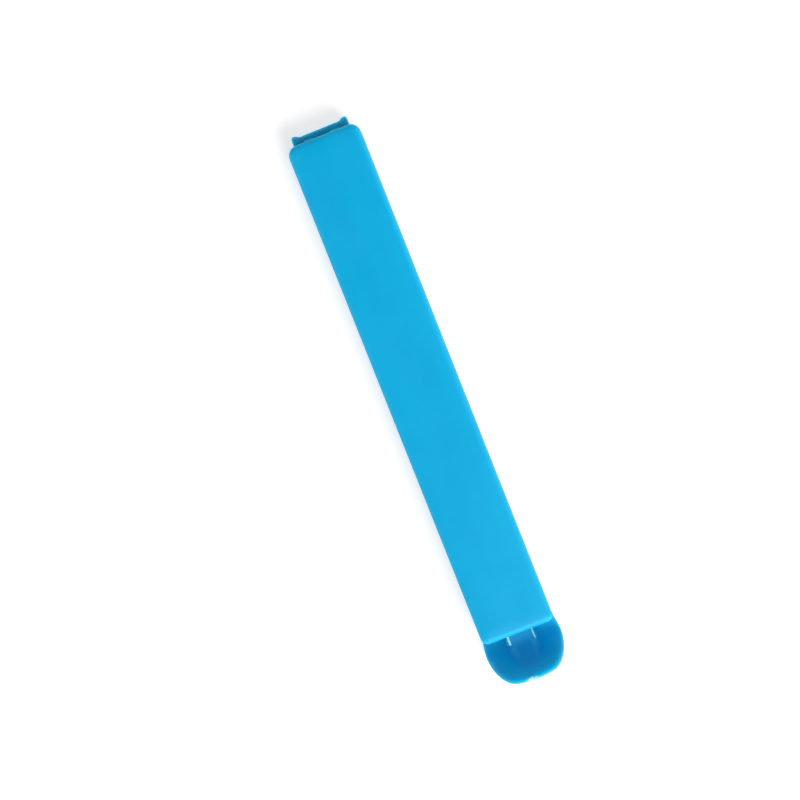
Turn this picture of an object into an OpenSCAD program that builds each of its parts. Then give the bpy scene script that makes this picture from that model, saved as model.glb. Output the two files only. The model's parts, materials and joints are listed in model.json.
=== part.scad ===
// Two-piece snap clip for closing food bags: a channel-shaped cover hinged on a
// flat base that ends in an upturned thumb tab. Millimetres, +Z up, +X from the
// hinge to the tab. The origin is under the middle of the closed clip.

/* [Cover] */
// Length of the cover
cover_l = 99.5; // [70:0.5:130]
// Width of the cover
cover_w = 14.4; // [14:0.1:16]
// Height of the closed cover above the surface that the clip lies on
cover_h = 7.2; // [7.1:0.1:8]
// Thickness of the cover's top plate
cover_top = 1.4; // [1.2:0.1:1.5]
// Thickness of the cover's side and end walls
cover_wall = 1.2; // [1:0.1:1.25]
// Radius of the cover's top edges
edge_r = 1.1; // [0.5:0.1:1.3]
// Plan radius of the cover's corners at the hinge
corner_hinge_r = 2.1; // [1.8:0.1:3]
// Plan radius of the cover's corners at the tab
corner_tab_r = 1.5; // [1.4:0.1:2.5]

/* [Base] */
// Thickness of the base plate
plate_t = 1.3; // [1.1:0.1:1.3]
// Gap between the cover's walls and the base plate
wall_gap = 0.3; // [0.2:0.05:0.4]
// Thickness of the two clamping ribs on the base
base_rib_t = 1.1; // [0.9:0.1:1.2]
// Height of the base ribs' tops above the surface
base_rib_top = 4.9; // [4.5:0.1:5]

/* [Hinge] */
// Radius of the hinge bar
bar_r = 0.9; // [0.85:0.05:1]
// Radial play between the bar and the hooks
bar_play = 0.05; // [0.03:0.01:0.08]
// Height of the hinge axis
hinge_z = 2.9; // [2.8:0.1:3]
// Distance of the hinge axis beyond the cover's end
hinge_out = 0.85; // [0.7:0.05:1]
// Radius of the ears that carry the bar
ear_r = 1.35; // [1.25:0.05:1.45]
// Width over both ears
ear_span = 11.2; // [10.8:0.1:11.3]
// Thickness of each ear
ear_t = 1.2; // [1.1:0.1:1.4]
// Thickness of the snap hooks round the bar
hook_t = 0.7; // [0.6:0.05:0.8]
// Width of each snap hook
hook_w = 1.8; // [1.4:0.1:2]

/* [Thumb tab] */
// Widest part of the tab, at least as wide as the cover
tab_w = 15.2; // [14.6:0.1:16]
// Height of the tab's rim
tab_h = 8.9; // [8.6:0.1:10]
// Thickness of the tab
tab_t = 1.3; // [1.1:0.1:1.3]
// Slope of the tab, in degrees
tab_slope = 58; // [52:1:64]
// Inner radius of the bend between base plate and tab
tab_bend_r = 3.6; // [3:0.1:4]
// Plan radius of the tab's corners
tab_corner_r = 4.7; // [3.5:0.1:5]
// Plan radius of the tab's crowned end
tab_end_r = 28; // [20:1:60]

/* [Latch] */
// Width of the latch hump, its post and its gusset
latch_w = 5.2; // [4.6:0.1:5.6]
// How far the post's barb and the cover's lip overlap
latch_bite = 0.25; // [0.15:0.05:0.3]
// Clearance round the latch
latch_gap = 0.3; // [0.25:0.05:0.35]

/* [Hidden] */
$fn = 96;
skin = 0.01; // bites neighbouring shapes of one moulding into each other
over = 1; // how far a cutting shape runs past what it cuts
arc_steps = 12; // straight pieces in each arc of an outline

// Levels
ceiling_z = cover_h - cover_top;
wall_z = plate_t + wall_gap;

// Thumb tab profile: flat floor, bend, straight slope, round rim
tab_floor = 1.0; // flat stretch between the cover's end and the bend
slope_l = (tab_h - tab_t / 2 * (1 - cos(tab_slope)) - plate_t - tab_bend_r * (1 - cos(tab_slope)))
    / sin(tab_slope);
rim_x = tab_floor + (tab_bend_r + tab_t / 2) * sin(tab_slope) + slope_l * cos(tab_slope);
rim_z = tab_h - tab_t / 2;
rim_trim = 0.05; // the crowned end takes this much off the middle of the rim
tab_out = rim_x + tab_t / 2 - rim_trim;

// Places along the clip: the whole length is centred on the origin
hinge_proud = hinge_out + ear_r;
overall_l = hinge_proud + cover_l + tab_out;
hinge_x = -overall_l / 2 + ear_r;
cover_x0 = hinge_x + hinge_out;
cover_x1 = cover_x0 + cover_l;
bend_x = cover_x1 + tab_floor;
bend_z = plate_t + tab_bend_r;

// Hinge
hook_inner_r = bar_r + bar_play;
hook_outer_r = hook_inner_r + hook_t;
hook_y = 2.6;
hook_web_l = 1.6;
hook_lip_angle = 60; // upper end of the hook, counted from +X towards +Z
hook_toe_angle = 232; // lower end of the hook
plate_gap = 0.45; // between the hooks and the plate's end
plate_x0 = hinge_x + hook_outer_r + plate_gap;
ear_foot_l = 5.6;

// Clamping ribs: the base's pair stands between the cover's three
base_rib_y = 2.15;
cover_rib_t = 1.1;
cover_mid_rib_z = 2.5;
cover_side_rib_z = 3.2;
cover_side_rib_y = 4.35;
rib_x0 = hinge_x + 7;

// Latch: a post on the base hooks over a lip on the cover's cross rib
post_l = 1.7;
post_x1 = cover_x1 - cover_wall - latch_gap;
post_x0 = post_x1 - post_l;
post_top = 5.3;
barb_z = 4.05;
barb_out = latch_bite + latch_gap;
barb_rise = 0.1; // the barb's underside slopes up by this much
barb_edge = 0.2; // height of the barb's blunt edge
barb_lead = 0.6; // the barb's lead-in slope runs this far on to the post's top
cross_rib_x1 = post_x0 - barb_out - latch_gap;
cross_rib_t = 1.1;
cross_rib_w = 7;
lip_out = latch_bite + latch_gap;
lip_z0 = 2.9;
lip_play = 0.15; // height between the lip and the barb
lip_z1 = barb_z - lip_play;
rib_x1 = cross_rib_x1 - cross_rib_t;
rib_end_gap = 0.8;
base_rib_x1 = rib_x1 - rib_end_gap;
hump_z = 3.4;
hump_l = 2.4; // how far the hump's flat top reaches beyond the cover
gusset_l = 4.4; // how far the gusset climbs the tab's slope
gusset_tip_w = 2.8; // the gusset narrows to this width at its top

// Rectangle with round corners, one radius at each end, from x = 0
module rounded_plan(l, w, r0, r1) {
    translate([r0, -w / 2]) square([l - r0 - r1, w]);
    translate([0, -w / 2 + r0]) square([l / 2, w - 2 * r0]);
    translate([l / 2, -w / 2 + r1]) square([l / 2, w - 2 * r1]);
    for (side = [-1, 1]) {
        translate([r0, side * (w / 2 - r0)]) circle(r0);
        translate([l - r1, side * (w / 2 - r1)]) circle(r1);
    }
}

// Upright rectangle with round top corners, from x = 0
module crowned_profile(l, h, r) {
    square([l, h - r]);
    translate([r, 0]) square([l - 2 * r, h]);
    translate([r, h - r]) circle(r);
    translate([l - r, h - r]) circle(r);
}

// Extrudes an X-Z outline across the clip
module across(w, y = 0) {
    translate([0, y, 0]) rotate([90, 0, 0]) linear_extrude(w, center = true) children();
}

// Upright wall along the clip
module rib(x0, x1, y, t, z0, z1) {
    translate([x0, y - t / 2, z0]) cube([x1 - x0, t, z1 - z0]);
}

// Outer block of the cover with rounded top edges and corners
module cover_block() {
    intersection() {
        translate([cover_x0, 0, wall_z])
            linear_extrude(cover_h - wall_z) rounded_plan(cover_l, cover_w, corner_hinge_r, corner_tab_r);
        translate([cover_x0, 0, 0]) across(cover_w + over) crowned_profile(cover_l, cover_h, edge_r);
        translate([cover_x0 - over, -cover_w / 2, 0]) rotate([90, 0, 90])
            linear_extrude(cover_l + 2 * over) crowned_profile(cover_w, cover_h, edge_r);
    }
}

// Space inside the cover's walls
module cover_hollow() {
    translate([cover_x0 + cover_wall, 0, wall_z - over])
        linear_extrude(ceiling_z - wall_z + over)
            rounded_plan(cover_l - 2 * cover_wall, cover_w - 2 * cover_wall,
                corner_hinge_r - cover_wall, corner_tab_r - cover_wall);
}

// Opening in the hinge end for the ears, and notch in the tab end for the hump
module cover_end_cuts() {
    hollow_w = cover_w - 2 * cover_wall;
    translate([cover_x0 - over, -hollow_w / 2, wall_z - over])
        cube([over + 2 * cover_wall, hollow_w, ceiling_z - wall_z + over]);
    notch_w = latch_w + 2 * latch_gap;
    translate([cover_x1 - 2 * cover_wall, -notch_w / 2, wall_z - over])
        cube([2 * cover_wall + over, notch_w, hump_z + latch_gap - wall_z + over]);
}

// Open hook that snaps on the hinge bar, with the web that carries it
module snap_hook(y) {
    translate([hinge_x, y, hinge_z]) rotate([90, 0, 0]) difference() {
        union() {
            cylinder(r = hook_outer_r, h = hook_w, center = true);
            translate([hinge_out, 0, -hook_w / 2])
                cube([hook_web_l, ceiling_z - hinge_z + skin, hook_w]);
        }
        cylinder(r = hook_inner_r, h = hook_w + over, center = true);
        linear_extrude(hook_w + over, center = true)
            polygon(concat([[0, 0]], [for (i = [0:3]) let (a = hook_lip_angle
                + (hook_toe_angle - hook_lip_angle) * i / 3) 2 * hook_outer_r * [cos(a), sin(a)]]));
    }
}

// Cross rib inside the cover with the lip that the base's barb holds
module latch_catch() {
    translate([rib_x1, -cross_rib_w / 2, lip_z0])
        cube([cross_rib_t, cross_rib_w, ceiling_z - lip_z0 + skin]);
    across(latch_w) polygon([
        [cross_rib_x1 - skin, lip_z0],
        [cross_rib_x1, lip_z0],
        [cross_rib_x1 + lip_out, lip_z1 - lip_out],
        [cross_rib_x1 + lip_out, lip_z1],
        [cross_rib_x1 - skin, lip_z1]
    ]);
}

module cover() {
    color([0.08, 0.66, 0.86]) union() {
        difference() {
            cover_block();
            cover_hollow();
            cover_end_cuts();
        }
        rib(rib_x0, rib_x1 + skin, 0, cover_rib_t, cover_mid_rib_z, ceiling_z + skin);
        for (side = [-1, 1]) {
            rib(rib_x0, rib_x1 + skin, side * cover_side_rib_y, cover_rib_t,
                cover_side_rib_z, ceiling_z + skin);
            snap_hook(side * hook_y);
        }
        latch_catch();
    }
}

// Flat plate of the base, rounded at the hinge end
module base_plate() {
    linear_extrude(plate_t) intersection() {
        translate([plate_x0, 0])
            rounded_plan(cover_x1 + over - plate_x0, cover_w, corner_hinge_r, skin);
        translate([plate_x0, -cover_w]) square([cover_x1 + tab_floor - plate_x0, 2 * cover_w]);
    }
}

// One ear: a round end on the hinge axis and a foot on the base plate
module ear(y) {
    across(ear_t, y) union() {
        translate([hinge_x, hinge_z]) circle(ear_r);
        polygon([
            [hinge_x, hinge_z + ear_r],
            [plate_x0 + ear_foot_l, plate_t],
            [plate_x0 + ear_foot_l, 0],
            [plate_x0, 0],
            [hinge_x, hinge_z - ear_r]
        ]);
    }
}

module hinge_bar() {
    translate([hinge_x, 0, hinge_z]) rotate([90, 0, 0])
        cylinder(r = bar_r, h = ear_span - ear_t, center = true);
}

// Points of an arc, angles counted from the outline's first axis towards its second.
// With ends = 1 the two end points are left out.
function arc(centre, r, a0, a1, ends = 0) =
    [for (i = [ends:arc_steps - ends]) let (a = a0 + (a1 - a0) * i / arc_steps)
        centre + r * [cos(a), sin(a)]];

// Middle profile of the tab before its corners are cut: bend, slope, round rim
module tab_profile() {
    bend = [bend_x, bend_z];
    polygon(concat(
        arc(bend, tab_bend_r + tab_t, -90, tab_slope - 90),
        arc([cover_x1 + rim_x, rim_z], tab_t / 2, tab_slope - 90, tab_slope + 90),
        arc(bend, tab_bend_r, tab_slope - 90, -90)
    ));
}

// Plan outline of the tab: flared sides, and round corners that run into a crowned end
module tab_plan() {
    x0 = cover_x1 + tab_floor - skin;
    crown_x = cover_x1 + tab_out - tab_end_r;
    corner_y = tab_w / 2 - tab_corner_r;
    crown_angle = asin(corner_y / (tab_end_r - tab_corner_r));
    corner_x = crown_x + (tab_end_r - tab_corner_r) * cos(crown_angle);
    polygon(concat(
        [[x0, -cover_w / 2]],
        arc([corner_x, -corner_y], tab_corner_r, -90, -crown_angle),
        arc([crown_x, 0], tab_end_r, -crown_angle, crown_angle, 1),
        arc([corner_x, corner_y], tab_corner_r, crown_angle, 90),
        [[x0, cover_w / 2]]
    ));
}

module thumb_tab() {
    intersection() {
        across(tab_w + over) tab_profile();
        translate([0, 0, -over]) linear_extrude(tab_h + 2 * over) tab_plan();
    }
}

// Point of the tab's middle profile: s along the slope, d above its inner face
function on_slope(s, d) = [
    bend_x + s * cos(tab_slope) + (tab_bend_r - d) * sin(tab_slope),
    bend_z + s * sin(tab_slope) - (tab_bend_r - d) * cos(tab_slope)
];

// Side view of the latch: post with its barb, hump, and gusset along the bend
module latch_profile() {
    polygon(concat([
        [post_x0, plate_t / 2],
        [post_x0, barb_z],
        [post_x0 - barb_out, barb_z + barb_rise],
        [post_x0 - barb_out, barb_z + barb_rise + barb_edge],
        [post_x0 + barb_lead, post_top],
        [post_x1, post_top],
        [post_x1, hump_z],
        [cover_x1 + hump_l, hump_z],
        on_slope(gusset_l, 0),
        on_slope(gusset_l, -tab_t / 2)
    ], arc([bend_x, bend_z], tab_bend_r + tab_t / 2, tab_slope - 90, -90)));
}

// The latch as it stands on the base, its gusset narrowing up the tab
module latch() {
    x0 = post_x0 - barb_out - over;
    x1 = on_slope(gusset_l, 0)[0] + over;
    intersection() {
        across(latch_w + over) latch_profile();
        translate([0, 0, -over]) linear_extrude(tab_h + 2 * over) polygon([
            [x0, -latch_w / 2],
            [cover_x1 + hump_l, -latch_w / 2],
            [x1, -gusset_tip_w / 2],
            [x1, gusset_tip_w / 2],
            [cover_x1 + hump_l, latch_w / 2],
            [x0, latch_w / 2]
        ]);
    }
}

module base() {
    color([0.05, 0.55, 0.78]) union() {
        base_plate();
        for (side = [-1, 1]) {
            rib(rib_x0, base_rib_x1, side * base_rib_y, base_rib_t, plate_t - skin, base_rib_top);
            ear(side * (ear_span - ear_t) / 2);
        }
        hinge_bar();
        thumb_tab();
        latch();
    }
}

base();
cover();
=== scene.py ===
"""Looks of the two-piece snap clip: the cover and base mouldings built in finer detail around
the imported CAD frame, with the plastic, the floor, the lights and the camera.

Lengths are millimetres and angles are degrees, unless a name says otherwise. Meshes are made
in millimetres and scaled to metres when they are finished."""

import json
import math

import bmesh
import bpy
from mathutils import Matrix, Vector


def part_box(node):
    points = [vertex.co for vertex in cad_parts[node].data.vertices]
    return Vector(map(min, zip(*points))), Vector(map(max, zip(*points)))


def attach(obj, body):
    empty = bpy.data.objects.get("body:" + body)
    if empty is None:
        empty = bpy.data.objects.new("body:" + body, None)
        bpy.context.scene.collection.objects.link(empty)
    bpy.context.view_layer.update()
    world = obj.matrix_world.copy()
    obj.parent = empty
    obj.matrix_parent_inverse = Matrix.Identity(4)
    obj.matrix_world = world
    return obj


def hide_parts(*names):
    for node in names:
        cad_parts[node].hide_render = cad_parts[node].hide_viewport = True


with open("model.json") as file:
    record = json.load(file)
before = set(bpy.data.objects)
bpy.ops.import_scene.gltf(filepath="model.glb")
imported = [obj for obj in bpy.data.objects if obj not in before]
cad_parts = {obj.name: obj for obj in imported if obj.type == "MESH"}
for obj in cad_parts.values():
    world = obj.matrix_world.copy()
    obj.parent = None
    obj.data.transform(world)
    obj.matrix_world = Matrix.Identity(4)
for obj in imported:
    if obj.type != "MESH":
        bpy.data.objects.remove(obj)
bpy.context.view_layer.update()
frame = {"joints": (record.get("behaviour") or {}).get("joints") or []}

MM = 0.001


def in_mm(place):
    """A place of the frame, which is in metres, in millimetres."""
    return Vector(place) / MM


# Places taken from the frame
COVER_HIGH = in_mm(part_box("cover")[1])
BASE_LOW, BASE_HIGH = map(in_mm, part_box("base"))
HINGE = in_mm(frame["joints"][0]["pos_m"])

# Cover
HINGE_OUT = 0.85            # hinge axis to the cover's end
COVER_X0 = HINGE.x + HINGE_OUT
COVER_X1 = COVER_HIGH.x
COVER_TOP = COVER_HIGH.z
COVER_HALF = COVER_HIGH.y
TOP_T = 1.4
WALL_T = 1.2
WALL_Z = 1.6                # lower edge of the walls
CEILING_Z = COVER_TOP - TOP_T
TOP_EDGE = 0.98             # rounding of the top edges
CROWN_W = 3.4               # the top eases down by CROWN_DROP in this margin
CROWN_DROP = 0.26
HINGE_CORNER = 2.1
TAB_CORNER = 1.5
DRAFT = 0.1                 # how far the walls lean in from bottom to top

# Clamping ribs
RIB_T = 1.1
RIB_START = 7.0             # hinge axis to the ribs
RIB_ROOT = 0.2              # how far the cover's ribs reach into its ceiling
BASE_RIB_TOP = 4.9
BASE_RIB_Y = 2.15
SIDE_RIB_Y = 4.35           # the cover's outer ribs
SIDE_RIB_TIP = 3.2
MIDDLE_RIB_TIP = 2.5

# Base
PLATE_T = 1.3               # thickness of the plate and the tab
PLATE_EDGE = 0.98           # the sheet's edge is built in this margin
EDGE_W = (0.5, 0.67, 1.05)  # width of the rounded upper edge: on the plate, the tab and its tip
EDGE_DROP = (0.35, 0.5, 0.6)        # its depth
UNDER_EDGE = (0.3, 0.45, 0.3)       # rounding of the underside's edge
RIM_W = 3.2                 # the tab's inner face eases off in this margin
RIM_EASE = 0.34
TAB_DISH = 0.35             # how far the tab's sides curl inwards
PLATE_X0 = BASE_LOW.x + 3.45        # the ears stand out past the plate
TAB_FLOOR = 1.0             # flat stretch between the cover and the bend of the tab
TAB_SLOPE = 58.0
TAB_BEND_R = 3.6
TAB_ROUND = 4.7             # corners of the tab
TAB_CROWN = 34.0            # radius of its end
TAB_HALF = BASE_HIGH.y

# Hinge
BAR_R = 0.9
EAR_R = HINGE.x - BASE_LOW.x
EAR_SPAN = 11.2
EAR_T = 1.2
EAR_FOOT = 5.6              # length of the ear along the plate
HOOK_R_IN = 0.95
HOOK_R_OUT = 1.65
HOOK_W = 1.8
HOOK_Y = 2.6                # middle of a hook
HOOK_LIP = 60               # the hook runs round the bar from its toe to its lip
HOOK_TOE = -128

# Latch
LATCH_W = 5.2
LATCH_GAP = 0.3             # play between the two mouldings
BARB_OUT = 0.55
BARB_Z = 4.05               # underside of the barb
POST_TOP = 5.3
POST_X1 = COVER_X1 - WALL_T - LATCH_GAP
POST_X0 = POST_X1 - 1.7
CROSS_RIB_X1 = POST_X0 - BARB_OUT - LATCH_GAP
CROSS_RIB_X0 = CROSS_RIB_X1 - RIB_T
CROSS_RIB_HALF = 3.5
CROSS_RIB_TIP = 2.9
HUMP_TOP = 3.4
HUMP_FLOOR = 2.85           # between the hump's raised edges
GUSSET_L = 4.4              # how far the gusset climbs the tab
GUSSET_H = 1.8

# Gate mark on the tab's rim
GATE_Y = -0.85
GATE_Z = BASE_HIGH.z - 0.55


# ---------------------------------------------------------------- outlines
def arc(cx, cy, r, a0, a1, steps=6):
    """Points of an arc from angle a0 to angle a1."""
    angles = [math.radians(a0 + (a1 - a0) * i / steps) for i in range(steps + 1)]
    return [(cx + r * math.cos(a), cy + r * math.sin(a)) for a in angles]


def rectangle(x0, x1, y0, y1, r0, r1=None, steps=6):
    """Counterclockwise rectangle, with corner radius r0 at x0 and r1 at x1."""
    r1 = r0 if r1 is None else r1
    return (arc(x1 - r1, y1 - r1, r1, 0, 90, steps) + arc(x0 + r0, y1 - r0, r0, 90, 180, steps)
            + arc(x0 + r0, y0 + r0, r0, 180, 270, steps) + arc(x1 - r1, y0 + r1, r1, 270, 360, steps))


def inset(outline, depth):
    """A counterclockwise outline moved inwards by depth."""
    moved = []
    for i, point in enumerate(outline):
        p = Vector(point)
        before = (p - Vector(outline[i - 1])).normalized()
        after = (Vector(outline[(i + 1) % len(outline)]) - p).normalized()
        bisector = Vector((-before.y - after.y, before.x + after.x)).normalized()
        miter = max(bisector.dot(Vector((-after.y, after.x))), 0.5)
        moved.append(tuple(p + bisector * depth / miter))
    return moved


def rounding(edge, steps):
    """(inset, depth) pairs of a rounded edge, from the end face to the side."""
    if not edge:
        return [(0, 0)]
    angles = [math.pi / 2 * i / steps for i in range(steps + 1)]
    return [(edge * (1 - math.sin(a)), edge * (1 - math.cos(a))) for a in angles]


# ---------------------------------------------------------------- solids
def solid(name, rings):
    """A closed mesh through rings of points, with a cap on the first ring and the last."""
    bm = bmesh.new()
    rows = [[bm.verts.new(p) for p in ring] for ring in rings]
    for row, following in zip(rows, rows[1:]):
        for i in range(len(row)):
            j = (i + 1) % len(row)
            bm.faces.new((row[i], row[j], following[j], following[i]))
    bm.faces.new(rows[0])
    bm.faces.new(rows[-1])
    return add_mesh(name, bm)


def add_mesh(name, bm):
    """Puts a mesh into the scene as an object, with its faces turned outwards."""
    bmesh.ops.recalc_face_normals(bm, faces=bm.faces)
    mesh = bpy.data.meshes.new(name)
    bm.to_mesh(mesh)
    bm.free()
    obj = bpy.data.objects.new(name, mesh)
    bpy.context.scene.collection.objects.link(obj)
    return obj


def upright(point, height):
    """An outline in plan, extruded upwards."""
    return (point[0], point[1], height)


def sideways(point, y):
    """An outline seen from the side, extruded across the clip."""
    return (point[0], y, point[1])


def endways(point, x):
    """An outline seen from the end, extruded along the clip."""
    return (x, point[0], point[1])


def prism(name, outline, place, start, end, edge0=0, edge1=0, steps=3):
    """An outline extruded from start to end, with a rounded edge at each end."""
    toward = 1 if end > start else -1
    rings = [(i, start + toward * d) for i, d in rounding(edge0, steps)]
    rings += [(i, end - toward * d) for i, d in reversed(rounding(edge1, steps))]
    return solid(name, [[place(p, level) for p in inset(outline, i)] for i, level in rings])


def combine(target, tool, operation):
    """Adds a solid to another, or cuts it away, and drops the tool."""
    step = target.modifiers.new("step", "BOOLEAN")
    step.operation = operation
    step.solver = "MANIFOLD"
    step.object = tool
    depsgraph = bpy.context.evaluated_depsgraph_get()
    mesh = bpy.data.meshes.new_from_object(target.evaluated_get(depsgraph))
    target.modifiers.clear()
    target.data = mesh
    bpy.data.objects.remove(tool)


def fuse(target, parts):
    """Joins solids onto the target, one after another."""
    for part in parts:
        combine(target, part, "UNION")
    return target


def cut(target, parts):
    """Takes solids away from the target, one after another."""
    for part in parts:
        combine(target, part, "DIFFERENCE")
    return target


# ---------------------------------------------------------------- cover
def cover_ring(depth, height):
    """The cover's outline at one height, moved inwards by depth."""
    smallest = 0.3
    outline = rectangle(COVER_X0 + depth, COVER_X1 - depth, -COVER_HALF + depth, COVER_HALF - depth,
                        max(HINGE_CORNER - depth, smallest), max(TAB_CORNER - depth, smallest), 8)
    return [upright(p, height) for p in outline]


def crown_drop(depth):
    """How far the crowned top has dropped at a distance from its edge."""
    return CROWN_DROP * max(1 - depth / CROWN_W, 0) ** 2


def cover_shell():
    """The channel: crowned top, drafted walls, rounded rim, and the space inside."""
    rim, root, steps = 0.22, 0.35, 6
    crown = [(CROWN_W + (TOP_EDGE - CROWN_W) * i / steps, 0) for i in range(steps)]
    top = crown + rounding(TOP_EDGE, 7)
    lower = rounding(rim, 3)
    inner = WALL_T + DRAFT
    rings = [cover_ring(DRAFT + i, COVER_TOP - d - crown_drop(i)) for i, d in top]
    rings += [cover_ring(i, WALL_Z + d) for i, d in reversed(lower)]
    rings += [cover_ring(WALL_T - i, WALL_Z + d) for i, d in lower]
    rings += [cover_ring(inner + d, CEILING_Z - i) for i, d in rounding(root, 4)]
    return solid("cover_moulding", rings)


def flared_cutter(name, outline, x_inside, x_face, flare):
    """Cuts an opening whose edges are rounded where it meets the wall's outer face."""
    toward = 1 if x_face > x_inside else -1
    widest, beyond = 1.6 * flare, 0.8
    rings = [(0, x_inside)]
    for degrees in (0, 20, 40, 60, 75):
        a = math.radians(degrees)
        rings.append((-flare * (1 - math.cos(a)), x_face - toward * (flare - flare * math.sin(a))))
    rings.append((-widest, x_face + toward * beyond))
    return solid(name, [[endways(p, x) for p in inset(outline, i)] for i, x in rings])


def cover_openings():
    """Cutters for the whole hinge end and for the notch that the latch's hump fills."""
    hollow = COVER_HALF - WALL_T
    notch = LATCH_W / 2 + LATCH_GAP
    below, corner, skin, reach = 0.0, 0.35, 0.02, 2 * WALL_T
    return [
        flared_cutter("hinge_opening", rectangle(-hollow, hollow, below, CEILING_Z - skin, corner),
                      COVER_X0 + reach, COVER_X0 + DRAFT, 0.22),
        flared_cutter("latch_notch", rectangle(-notch, notch, below, HUMP_TOP + LATCH_GAP, corner),
                      COVER_X1 - reach, COVER_X1 - skin, 0.18),
    ]


def rib(x1, y, tip_z, root_z):
    """Upright clamping rib with rounded ends and a rounded tip, from RIB_START to x1."""
    corner, edge = 0.42, 0.28
    outline = rectangle(HINGE.x + RIB_START, x1, y - RIB_T / 2, y + RIB_T / 2, corner)
    return prism("rib", outline, upright, tip_z, root_z, edge)


def cover_ribs():
    """Three ribs that run into the cross rib at the tab end."""
    root, bite = CEILING_Z + RIB_ROOT, 0.3
    lengthways = [(0, MIDDLE_RIB_TIP), (-SIDE_RIB_Y, SIDE_RIB_TIP), (SIDE_RIB_Y, SIDE_RIB_TIP)]
    ribs = [rib(CROSS_RIB_X0 + bite, y, tip, root) for y, tip in lengthways]
    corner, edge = 0.3, 0.2
    outline = rectangle(CROSS_RIB_X0, CROSS_RIB_X1, -CROSS_RIB_HALF, CROSS_RIB_HALF, corner)
    return ribs + [prism("cross_rib", outline, upright, CROSS_RIB_TIP, root, edge)]


def latch_lip():
    """Wedge on the cross rib that the base's barb holds."""
    out, low, high, nose, edge = 0.53, 2.95, 3.9, 0.12, 0.1
    inside = CROSS_RIB_X1 - 0.4
    outline = [(inside, low), (CROSS_RIB_X1, low), (CROSS_RIB_X1 + out, high - out),
               *arc(CROSS_RIB_X1 + out - nose, high - nose, nose, 0, 90, 3), (inside, high)]
    return prism("lip", outline, sideways, LATCH_W / 2, -LATCH_W / 2, edge, edge, 2)


def snap_hook(y):
    """Open hook round the hinge bar and the web that carries it."""
    cx, cz = HINGE.x, HINGE.z
    nose = (HOOK_R_OUT - HOOK_R_IN) / 2
    mid = HOOK_R_IN + nose

    def end(angle, start):
        a = math.radians(angle)
        return arc(cx + mid * math.cos(a), cz + mid * math.sin(a), nose, start, start + 180, 8)[1:-1]

    def plate(name, outline):
        edge = 0.16
        return prism(name, outline, sideways, y + HOOK_W / 2, y - HOOK_W / 2, edge, edge)

    ring = (arc(cx, cz, HOOK_R_OUT, HOOK_TOE, HOOK_LIP, 26) + end(HOOK_LIP, HOOK_LIP)
            + arc(cx, cz, HOOK_R_IN, HOOK_LIP, HOOK_TOE, 26) + end(HOOK_TOE, HOOK_TOE + 180))
    web_x0, web_x1 = cx + HOOK_R_IN + 0.02, cx + HINGE_OUT + 1.6
    web = rectangle(web_x0, web_x1, cz, CEILING_Z + RIB_ROOT, 0.12, steps=3)
    return fuse(plate("hook", ring), [plate("web", web)])


def make_cover():
    """The cover moulding, as one closed mesh."""
    cover = cut(cover_shell(), cover_openings())
    return fuse(cover, cover_ribs() + [latch_lip()] + [snap_hook(y) for y in (-HOOK_Y, HOOK_Y)])


# ---------------------------------------------------------------- base: plate and tab in one sheet
BEND_X = COVER_X1 + TAB_FLOOR
BEND_Z = PLATE_T + TAB_BEND_R
MID_R = TAB_BEND_R + PLATE_T / 2
SLOPE = math.radians(TAB_SLOPE)
BEND_L = MID_R * SLOPE
TIP_X = BASE_HIGH.x - 0.5     # the tip of the sheet's middle; its rounded edge reaches further


def unrolled(x):
    """Length along the sheet's middle at a place in plan."""
    sine = (x - BEND_X) / MID_R
    if sine <= 0:
        return x
    if sine < math.sin(SLOPE):
        return BEND_X + MID_R * math.asin(sine)
    return BEND_X + BEND_L + (x - BEND_X - MID_R * math.sin(SLOPE)) / math.cos(SLOPE)


def bent(s, y, h):
    """Place of a sheet point: s along it, y across it, h above its underside."""
    along = s - BEND_X
    angle = min(max(along / MID_R, 0), SLOPE)
    beyond = along - BEND_L if along > BEND_L else min(along, 0)
    r = TAB_BEND_R + PLATE_T - h
    return (BEND_X + r * math.sin(angle) + beyond * math.cos(angle), y,
            BEND_Z - r * math.cos(angle) + beyond * math.sin(angle))


def smooth(value, low, high):
    """Eased step from 0 at low to 1 at high."""
    t = min(max((value - low) / (high - low), 0), 1)
    return t * t * (3 - 2 * t)


def sheet_sides():
    """Outline of the sheet in plan: its hinge end, its tab end and its +Y side.

    Both ends have the same number of points, which the grid between them needs."""
    half, r = COVER_HALF, HINGE_CORNER
    corner_y = TAB_HALF - TAB_ROUND
    crown_x = TIP_X - TAB_CROWN
    crown = math.degrees(math.asin(corner_y / (TAB_CROWN - TAB_ROUND)))
    corner_x = crown_x + (TAB_CROWN - TAB_ROUND) * math.cos(math.radians(crown))
    split = 42                  # where a corner of the tab passes from the side to the end
    hinge_steps, end_steps, corner_steps = 4, 15, 7
    straight_steps = end_steps - hinge_steps
    hinge_half = arc(PLATE_X0 + r, half - r, r, 135, 180, hinge_steps)
    hinge_half += [(PLATE_X0, (half - r) * (1 - i / straight_steps)) for i in range(1, straight_steps + 1)]
    tab_half = arc(corner_x, corner_y, TAB_ROUND, split, crown, corner_steps)
    tab_half += arc(crown_x, 0, TAB_CROWN, crown, 0, end_steps - corner_steps)[1:]

    first, last = PLATE_X0 + r, COVER_X1 - 0.3
    plate_steps, flare_steps = 8, 14
    side = arc(PLATE_X0 + r, half - r, r, 135, 90, hinge_steps)
    side += [(first + (last - first) * i / plate_steps, half) for i in range(1, plate_steps + 1)]
    flare = [last + (corner_x - last) * i / flare_steps for i in range(1, flare_steps)]
    side += [(x, half + (TAB_HALF - half) * smooth(x, last, corner_x)) for x in flare]
    side += arc(corner_x, corner_y, TAB_ROUND, 90, split, 10)

    def across(points):
        return [(x, -y) for x, y in points] + [(x, y) for x, y in reversed(points[:-1])]

    return across(hinge_half), across(tab_half), side


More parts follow.
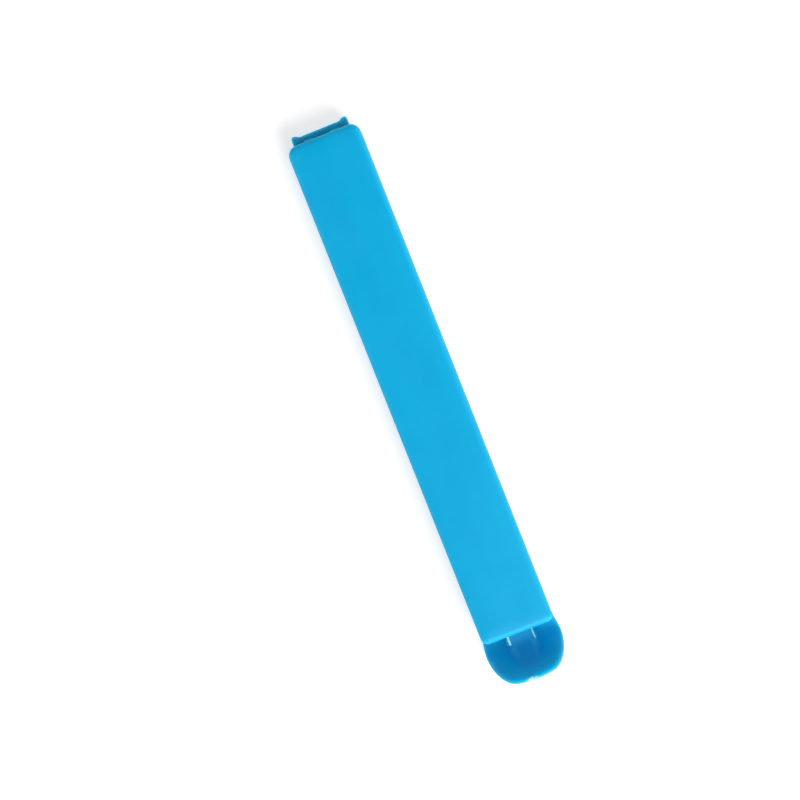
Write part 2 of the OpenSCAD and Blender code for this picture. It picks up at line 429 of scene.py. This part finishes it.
def sheet_patch():
    """Grid of (s, y) over the unrolled sheet with rows across it, its outline, and the outline
    moved in by PLATE_EDGE, where the grid ends."""
    hinge_end, tab_end, side = sheet_sides()
    loop = [(x, -y) for x, y in side] + tab_end[1:] + [*reversed(side[:-1])] + [*reversed(hinge_end[1:-1])]
    loop = [(unrolled(x), y) for x, y in loop]
    inner = inset(loop, PLATE_EDGE)
    rows, columns = len(side) - 1, len(tab_end) - 1
    left = inner[:rows + 1]
    top = inner[rows:rows + columns + 1]
    right = [*reversed(inner[rows + columns:2 * rows + columns + 1])]
    bottom = [inner[0]] + [*reversed(inner[2 * rows + columns + 1:])] + [right[0]]
    grid = []
    for j in range(rows + 1):
        toward_tab = smooth(left[j][0], BEND_X - 1, left[rows][0])
        toward_hinge = 1 - smooth(left[j][0], left[0][0], left[0][0] + 6)
        row = []
        for i in range(columns + 1):
            u = i / columns
            place = []
            for axis in (0, 1):
                straight = (1 - u) * left[j][axis] + u * right[j][axis]
                ends = [(1 - u) * e[0][axis] + u * e[-1][axis] for e in (top, bottom)]
                place.append(straight + toward_tab * (top[i][axis] - ends[0])
                             + toward_hinge * (bottom[i][axis] - ends[1]))
            row.append(tuple(place))
        grid.append(row)
    return grid, loop, inner


def gusset(s, y):
    """How far the latch's tapering gusset swells the sheet's inner face."""
    top = BEND_X + BEND_L + GUSSET_L
    taper, fall = 1.2, 1.15
    half = LATCH_W / 2 - taper * smooth(s, BEND_X + 3, top)
    climb = min(max((s - BEND_X) / (top - BEND_X), 0), 1)
    along = smooth(s, BEND_X + 0.1, BEND_X + 1.6) * (1 - climb) ** fall
    flat, foot = 0.66, 1.14     # in half-widths from the middle
    return GUSSET_H * along * (1 - smooth(abs(y), flat * half, foot * half))


def on_tab(s):
    """0 on the flat plate, 1 from the end of the bend upwards."""
    return smooth(s, BEND_X, BEND_X + BEND_L)


def along_sheet(s, plate, tab, tip):
    """A value on the plate that changes in the bend and again towards the tab's tip."""
    end = unrolled(TIP_X)
    return plate + (tab - plate) * on_tab(s) + (tip - tab) * smooth(s, end - 3.5, end - 0.5)


def quarter(depth, width, near):
    """How far a rounded edge has dropped at the distance near from it."""
    return depth * (1 - math.sqrt(1 - max(1 - near / width, 0) ** 2))


def edge_drop(s, near):
    """How far the sheet's inner face has dropped near its edge. It also eases off near the
    tab's rim."""
    ease = RIM_EASE * on_tab(s) * max(1 - near / RIM_W, 0) ** 2
    return ease + quarter(along_sheet(s, *EDGE_DROP), along_sheet(s, *EDGE_W), near)


def edge_rise(s, near):
    """How far the sheet's underside has rounded up near its edge."""
    radius = along_sheet(s, *UNDER_EDGE)
    return quarter(radius, radius, near)


def distance(point, loop):
    """Distance from a point to a closed outline."""
    nearest = math.inf
    for a, b in zip(loop, loop[1:] + loop[:1]):
        side = b - a
        t = min(max((point - a).dot(side) / side.dot(side), 0), 1)
        nearest = min(nearest, (point - a - side * t).length)
    return nearest


def patch_rim(layer):
    """The outer points of a grid, in the order of the sheet's outline."""
    left = [row[0] for row in layer]
    right = [row[-1] for row in layer]
    return left + layer[-1][1:] + [*reversed(right[:-1])] + [*reversed(layer[0][1:-1])]


def make_sheet():
    """The base's plate and thumb tab: a sheet with rounded edges, dished and bent up."""
    grid, loop, inner = sheet_patch()
    columns = len(grid[0]) - 1
    edge = [Vector(p) for p in loop]

    def place(s, y, h):
        return bent(s, y, h + TAB_DISH * on_tab(s) * (y / TAB_HALF) ** 2)

    def inner_face(s, y):
        return place(s, y, PLATE_T + gusset(s, y) - edge_drop(s, distance(Vector((s, y)), edge)))

    bm = bmesh.new()
    upper = [[bm.verts.new(inner_face(s, y)) for s, y in row] for row in grid]
    lower = [[bm.verts.new(place(s, y, 0)) for s, y in row] for row in grid]
    for layer in (upper, lower):
        for a, b in zip(layer, layer[1:]):
            for i in range(columns):
                bm.faces.new((a[i], a[i + 1], b[i + 1], b[i]))

    def edge_ring(inset_by, height):
        ring = []
        for p, q in zip(inner, loop):
            s, y = Vector(q).lerp(Vector(p), inset_by / PLATE_EDGE)
            ring.append(bm.verts.new(place(s, y, height(s, inset_by))))
        return ring

    def upper_edge(s, near):
        return PLATE_T - edge_drop(s, near)

    rings = [patch_rim(upper)]
    rings += [edge_ring(near, upper_edge) for near in (0.8, 0.62, 0.46, 0.32, 0.2, 0.11, 0.045, 0.012, 0)]
    rings += [edge_ring(near, edge_rise) for near in (0.02, 0.07, 0.16, 0.28, 0.42, 0.6)]
    rings.append(patch_rim(lower))
    for a, b in zip(rings, rings[1:]):
        for i in range(len(a)):
            j = (i + 1) % len(a)
            bm.faces.new((a[i], a[j], b[j], b[i]))
    return add_mesh("base_moulding", bm)


# ---------------------------------------------------------------- base: hinge, ribs and latch
def ear(y):
    """Round-tipped ear with a foot on the plate."""
    half, foot_x, foot_z, edge = EAR_T / 2, PLATE_X0 + EAR_FOOT, 0.3, 0.5
    heel = Vector((PLATE_X0 - HINGE.x, foot_z - HINGE.z))
    toe = math.degrees(math.atan2(heel.y, heel.x)) - math.degrees(math.acos(EAR_R / heel.length))
    back = 72                   # direction from the bar in which the back leaves the round tip
    outline = ([(PLATE_X0, foot_z), (foot_x, foot_z), (foot_x, PLATE_T)]
               + arc(HINGE.x, HINGE.z, EAR_R, back, 360 + toe, 22))
    return prism("ear", outline, sideways, y + half, y - half, edge, edge, 6)


def hinge_bar():
    """Round bar that flares where it runs into the ears."""
    flare = [(3.75, 0), (3.95, 0.03), (4.15, 0.1), (4.32, 0.2), (4.45, 0.3), (5.0, 0.3)]
    stations = [(-y, grow) for y, grow in reversed(flare)] + flare
    rings = [[sideways(p, y) for p in arc(HINGE.x, HINGE.z, BAR_R + grow, 0, 360, 40)[:-1]]
             for y, grow in stations]
    return solid("bar", rings)


def latch():
    """Post with its barb, and the low hump that runs through the cover's notch."""
    inside, corner, edge = PLATE_T / 2, 0.2, 0.1
    hump_x = COVER_X1 + 2.5
    outline = arc(BEND_X, BEND_Z, TAB_BEND_R + inside, -90, -50, 8) + [
        (hump_x, HUMP_FLOOR - 0.3),
        (hump_x - 0.1, HUMP_FLOOR - 0.06),
        (hump_x - 0.3, HUMP_FLOOR),
        (POST_X1, HUMP_FLOOR),
        (POST_X1, POST_TOP - corner),
        (POST_X1 - corner, POST_TOP),
        (POST_X0 + 0.6, POST_TOP),
        (POST_X0 - BARB_OUT, BARB_Z + 0.3),
        (POST_X0 - BARB_OUT, BARB_Z + 0.1),
        (POST_X0, BARB_Z),
        (POST_X0, inside),
    ]
    return prism("latch", outline, sideways, LATCH_W / 2, -LATCH_W / 2, edge, edge, 3)


def hump_ridge(side, thickness, reach):
    """Raised edge along one side of the hump, from the notch down towards the gusset."""
    x0, x1, edge = COVER_X1 - 0.8, COVER_X1 + reach, 0.14
    outline = [(x0, 2.2), (x1 - 0.1, 1.9), (x1, HUMP_TOP - 0.6), (x1 - 0.1, HUMP_TOP - 0.3),
               (x1 - 0.4, HUMP_TOP - 0.16), (x1 - 1.3, HUMP_TOP - 0.03), (x0, HUMP_TOP)]
    outer = side * LATCH_W / 2
    inner = outer - side * thickness
    return prism("ridge", outline, sideways, max(outer, inner), min(outer, inner), edge, edge, 4)


def ridge_foot():
    """Low step beside the stronger ridge."""
    x0, x1, thickness = COVER_X1 + 0.9, COVER_X1 + 2.3, 0.6
    outline = [(x0, 1.4), (x1, 1.6), (x1 + 0.1, 2.5), (x1 - 0.2, 2.8), (x0 + 0.5, 2.9), (x0, 2.6)]
    outer = -LATCH_W / 2 - 0.42
    return prism("foot", outline, sideways, outer + thickness, outer, 0, 0.2, 4)


def gate_stub():
    """What is left where the moulding was cut off its runner, on the tab's rim."""
    tip, r, steps = unrolled(TIP_X), 0.42, 14
    wide, high, rough = 1.5, 0.7, 0.12
    rings = []
    for size, out in ((1.0, -0.5), (1.0, 0.03), (0.86, 0.1), (0.5, 0.12)):
        ring = []
        for i in range(steps):
            a = 2 * math.pi * i / steps
            wobble = 1 + rough * math.sin(3 * a + 0.6)
            x, _, z = bent(tip + out, 0, PLATE_T / 2 + r * high * size * wobble * math.sin(a))
            ring.append((x, GATE_Y + wide * r * size * wobble * math.cos(a), z))
        rings.append(ring)
    return solid("gate", rings)


def make_base():
    """The base moulding, as one closed mesh."""
    rib_x1, root = CROSS_RIB_X0 - 0.8, PLATE_T - 0.3
    ribs = [rib(rib_x1, y, BASE_RIB_TOP, root) for y in (-BASE_RIB_Y, BASE_RIB_Y)]
    ears = [ear(side * (EAR_SPAN - EAR_T) / 2) for side in (-1, 1)]
    details = [hinge_bar(), latch(), hump_ridge(-1, 0.4, 2.4), hump_ridge(1, 0.3, 2.7),
               ridge_foot(), gate_stub()]
    return fuse(make_sheet(), ribs + ears + details)


# ---------------------------------------------------------------- plastic
def set_inputs(node, values):
    """Sets a shader node's own sockets by name."""
    for name, value in values.items():
        node.inputs[name].default_value = value


class Nodes:
    """Short way to add shader nodes to one material and wire them."""

    def __init__(self, material):
        self.tree = material.node_tree
        self.shader = self.tree.nodes["Principled BSDF"]

    def add(self, kind, settings=None, **inputs):
        node = self.tree.nodes.new("ShaderNode" + kind)
        for key, value in (settings or {}).items():
            setattr(node, key, value)
        for key, value in inputs.items():
            self.feed(node.inputs[key.replace("_", " ")], value)
        return node

    def feed(self, socket, value):
        if isinstance(value, bpy.types.NodeSocket):
            self.tree.links.new(value, socket)
        else:
            socket.default_value = value

    def math(self, operation, *values):
        node = self.add("Math", {"operation": operation})
        for socket, value in zip(node.inputs, values):
            self.feed(socket, value)
        return node.outputs[0]

    def scaled(self, place, size):
        """The place counted in steps of size, given in millimetres along each axis."""
        node = self.add("VectorMath", {"operation": "DIVIDE"})
        self.feed(node.inputs[0], place)
        self.feed(node.inputs[1], tuple(value * MM for value in size))
        return node.outputs[0]

    def noise(self, place, size, detail=2.0):
        node = self.add("TexNoise", Vector=self.scaled(place, size), Scale=1.0, Detail=detail)
        return node.outputs["Fac"]

    def ramp(self, value, low, high, to_low=0.0, to_high=1.0):
        node = self.add("MapRange", {"interpolation_type": "SMOOTHSTEP"})
        for name, setting in zip(("Value", "From Min", "From Max", "To Min", "To Max"),
                                 (value, low, high, to_low, to_high)):
            self.feed(node.inputs[name], setting)
        return node.outputs[0]

    def mix(self, factor, first, second):
        node = self.add("Mix", {"data_type": "RGBA"})
        for index, value in ((0, factor), (6, first), (7, second)):
            self.feed(node.inputs[index], value)
        return node.outputs[2]

    def near(self, place, centre, reach, soft=0.35):
        """1 inside an ellipsoid at centre with half-axes reach, in millimetres, and 0 outside."""
        shift = self.add("VectorMath", {"operation": "SUBTRACT"})
        self.feed(shift.inputs[0], place)
        self.feed(shift.inputs[1], tuple(value * MM for value in centre))
        length = self.add("VectorMath", {"operation": "LENGTH"})
        self.feed(length.inputs[0], self.scaled(shift.outputs[0], reach))
        return self.ramp(length.outputs["Value"], 1 + soft, 1 - soft)


BLUE = (0.001, 0.385, 0.65, 1)
BLUE_FLOW = (0.001, 0.365, 0.63, 1)
# Darker, greyer blue for the tab's hollow: painted shade, partly a greyer tint of handling wear.
SHADE_AND_WEAR_BLUE = (0.01, 0.31, 0.63, 1)
SCUFFED = (0.03, 0.47, 0.74, 1)
# Near-white: a painted highlight on the hump's raised edges, partly stress-whitening.
EDGE_HIGHLIGHT = (0.36, 0.85, 0.95, 1)
CUT = (0.6, 0.86, 0.92, 1)


def scuff_mask(nodes, place, patches):
    """Hairline scuffs along and across the clip, in patches."""
    along = nodes.ramp(nodes.noise(place, (7, 0.16, 0.5), 1), 0.7, 0.8)
    across = nodes.ramp(nodes.noise(place, (0.22, 5, 0.6), 1), 0.73, 0.83)
    return nodes.math("MULTIPLY", nodes.math("MAXIMUM", along, across), nodes.ramp(patches, 0.5, 0.66))


def ridge_highlight_mask(nodes, place):
    """The hump's raised edges, painted lighter as a highlight, one more than the other; partly
    stress-whitening where the latch rubs.
    """
    left = nodes.near(place, (COVER_X1 + 1.0, 0.2 - LATCH_W / 2, HUMP_TOP), (2.2, 0.4, 0.5), 0.25)
    right = nodes.near(place, (COVER_X1 + 1.2, LATCH_W / 2 - 0.15, HUMP_TOP), (2.2, 0.3, 0.45), 0.25)
    return nodes.math("MAXIMUM", left, nodes.math("MULTIPLY", right, 0.55))


def surface_bump(nodes, place, masks):
    """Orange peel, and the height in millimetres that each mask adds to it."""
    relief = nodes.math("MULTIPLY", nodes.noise(place, (0.5, 0.5, 0.5), 3), 0.006)
    for mask, height in masks:
        relief = nodes.math("ADD", relief, nodes.math("MULTIPLY", mask, height))
    return nodes.add("Bump", Height=relief, Distance=MM, Strength=1.0).outputs["Normal"]


def plastic():
    """Moulded polypropylene: satin gloss, slightly translucent, with flow marks in its colour,
    fine orange peel, hairline scuffs, a painted highlight on the latch's edges (partly stress-whitening),
    painted shade with some handling wear in the tab's hollow, and a rough gate mark."""
    material = bpy.data.materials.new("blue_polypropylene")
    material.use_nodes = True
    nodes = Nodes(material)
    place = nodes.add("TexCoord").outputs["Object"]

    flow = nodes.noise(place, (26, 7, 7), 3)
    patches = nodes.noise(place, (6, 6, 6), 4)
    grain = nodes.noise(place, (0.35, 0.35, 0.35))
    scuffs = scuff_mask(nodes, place, patches)
    gate = nodes.near(place, (TIP_X + 0.05, GATE_Y, GATE_Z), (0.42, 0.95, 0.6), 0.5)
    gate = nodes.math("MULTIPLY", gate, nodes.ramp(grain, 0.4, 0.6, 0.2, 0.9))
    # Painted shade over the tab's hollow, where the tab shades it, with some greyer handling wear.
    hollow_shade_and_wear = nodes.near(place, (COVER_X1 + 4.2, 0, 4.4), (3.6, 2.5, 4.0), 0.6)

    colour = nodes.mix(nodes.ramp(flow, 0.35, 0.65), BLUE, BLUE_FLOW)
    # Darkens the tab's hollow: painted shade, partly handling wear.
    colour = nodes.mix(nodes.math("MULTIPLY", hollow_shade_and_wear, 0.85), colour, SHADE_AND_WEAR_BLUE)
    colour = nodes.mix(nodes.math("MULTIPLY", scuffs, 0.5), colour, SCUFFED)
    # Painted highlight along the hump's raised edges.
    colour = nodes.mix(ridge_highlight_mask(nodes, place), colour, EDGE_HIGHLIGHT)
    colour = nodes.mix(gate, colour, CUT)

    rough = nodes.ramp(patches, 0.3, 0.7, 0.42, 0.5)
    for mask, extra in ((scuffs, 0.12), (gate, 0.3)):
        rough = nodes.math("ADD", rough, nodes.math("MULTIPLY", mask, extra))

    torn = nodes.math("MULTIPLY", gate, grain)
    normal = surface_bump(nodes, place, ((flow, 0.03), (scuffs, -0.004), (torn, 0.12)))

    nodes.feed(nodes.shader.inputs["Base Color"], colour)
    nodes.feed(nodes.shader.inputs["Roughness"], rough)
    nodes.feed(nodes.shader.inputs["Normal"], normal)
    set_inputs(nodes.shader, {
        "IOR": 1.49,
        "Specular IOR Level": 0.2,
        "Subsurface Weight": 0.7,
        "Subsurface Radius": (0.25, 0.8, 0.8),
        "Subsurface Scale": 3 * MM,
    })
    return material


def finish_piece(obj, node, body, material):
    """Scales a moulding to metres, smooths its shading and ties it to its CAD node."""
    together, crease = 0.002, math.radians(42)
    mesh = obj.data
    bm = bmesh.new()
    bm.from_mesh(mesh)
    bmesh.ops.remove_doubles(bm, verts=bm.verts, dist=together)
    bmesh.ops.dissolve_degenerate(bm, edges=bm.edges, dist=together)
    bmesh.ops.scale(bm, verts=bm.verts, vec=(MM, MM, MM))
    for face in bm.faces:
        face.smooth = True
    for edge in bm.edges:
        edge.smooth = edge.is_manifold and edge.calc_face_angle(0) < crease
    bm.to_mesh(mesh)
    bm.free()
    mesh.materials.clear()
    mesh.materials.append(material)
    normals = obj.modifiers.new("normals", "WEIGHTED_NORMAL")
    normals.keep_sharp = True
    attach(obj, body)
    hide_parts(node)


# ---------------------------------------------------------------- stage
def floor():
    """White table just under the clip, so wide that low views don't see its end. It glows a
    little, which keeps the shadows pale."""
    half_size, gap = 40, 0.02 * MM      # in metres
    bm = bmesh.new()
    bmesh.ops.create_grid(bm, x_segments=1, y_segments=1, size=half_size)
    obj = add_mesh("floor", bm)
    obj.location.z = -gap
    material = bpy.data.materials.new("floor")
    material.use_nodes = True
    set_inputs(material.node_tree.nodes["Principled BSDF"], {
        "Base Color": (0.5, 0.5, 0.5, 1),
        "Roughness": 0.9,
        "Emission Color": (1, 1, 1, 1),
        "Emission Strength": 0.6,
    })
    obj.data.materials.append(material)


def aimed(name, light, place):
    """Puts a light at a place in metres, facing the clip."""
    obj = bpy.data.objects.new(name, light)
    obj.location = place
    obj.rotation_euler = (-Vector(place)).to_track_quat("-Z", "Y").to_euler()
    bpy.context.scene.collection.objects.link(obj)


def soft_sun(name, place, strength, spread):
    """Even light from one side, as from a diffuser that is spread degrees wide."""
    light = bpy.data.lights.new(name, "SUN")
    light.energy = strength
    light.angle = math.radians(spread)
    aimed(name, light, place)


def studio_walls():
    """Surroundings that are white near the horizon and dim overhead."""
    world = bpy.data.worlds.new("studio")
    world.use_nodes = True
    tree = world.node_tree
    direction = tree.nodes.new("ShaderNodeTexCoord")
    split = tree.nodes.new("ShaderNodeSeparateXYZ")
    fade = tree.nodes.new("ShaderNodeMapRange")
    fade.interpolation_type = "SMOOTHSTEP"
    set_inputs(fade, {"From Min": 0.08, "From Max": 0.4, "To Min": 1.0, "To Max": 0.12})
    background = tree.nodes["Background"]
    set_inputs(background, {"Color": (1, 1, 1, 1)})
    tree.links.new(direction.outputs["Generated"], split.inputs[0])
    tree.links.new(split.outputs["Z"], fade.inputs["Value"])
    tree.links.new(fade.outputs[0], background.inputs["Strength"])
    bpy.context.scene.world = world


def lighting():
    """Key light from beyond the tab, two weak ones from the sides, a small near one by the tab."""
    soft_sun("key", (0.86, 0.23, 0.75), 2.9, 30)
    soft_sun("side", (0.0, 0.9, 0.6), 0.75, 60)
    soft_sun("fill", (-0.2, -0.9, 0.7), 0.65, 60)
    near = bpy.data.lights.new("near", "AREA")
    near.shape = "SQUARE"
    near.size = 0.35
    near.energy = 1.1
    aimed("near", near, (0.42, 0.11, 0.31))
    studio_walls()
    bpy.context.scene.view_settings.view_transform = "Standard"


def camera():
    """High over the clip, a little towards its hinge, with the clip running down the picture."""
    place = Vector((-7.15, 5.2, 228.6)) * MM
    aim = Vector((-2.15, -4.5, 7.2)) * MM
    up_angle = math.radians(158.3)
    back = (place - aim).normalized()
    up = Vector((math.cos(up_angle), math.sin(up_angle), 0))
    right = up.cross(back).normalized()
    up = back.cross(right)
    data = bpy.data.cameras.new("camera")
    data.lens = 54
    data.sensor_width = 36
    data.clip_start = 0.01
    obj = bpy.data.objects.new("camera", data)
    turn = Matrix((right, up, back)).transposed()
    obj.matrix_world = Matrix.Translation(place) @ turn.to_4x4()
    bpy.context.scene.collection.objects.link(obj)
    bpy.context.scene.camera = obj


camera()
lighting()
floor()
blue = plastic()
finish_piece(make_cover(), "cover", "cover", blue)
finish_piece(make_base(), "base", "base", blue)
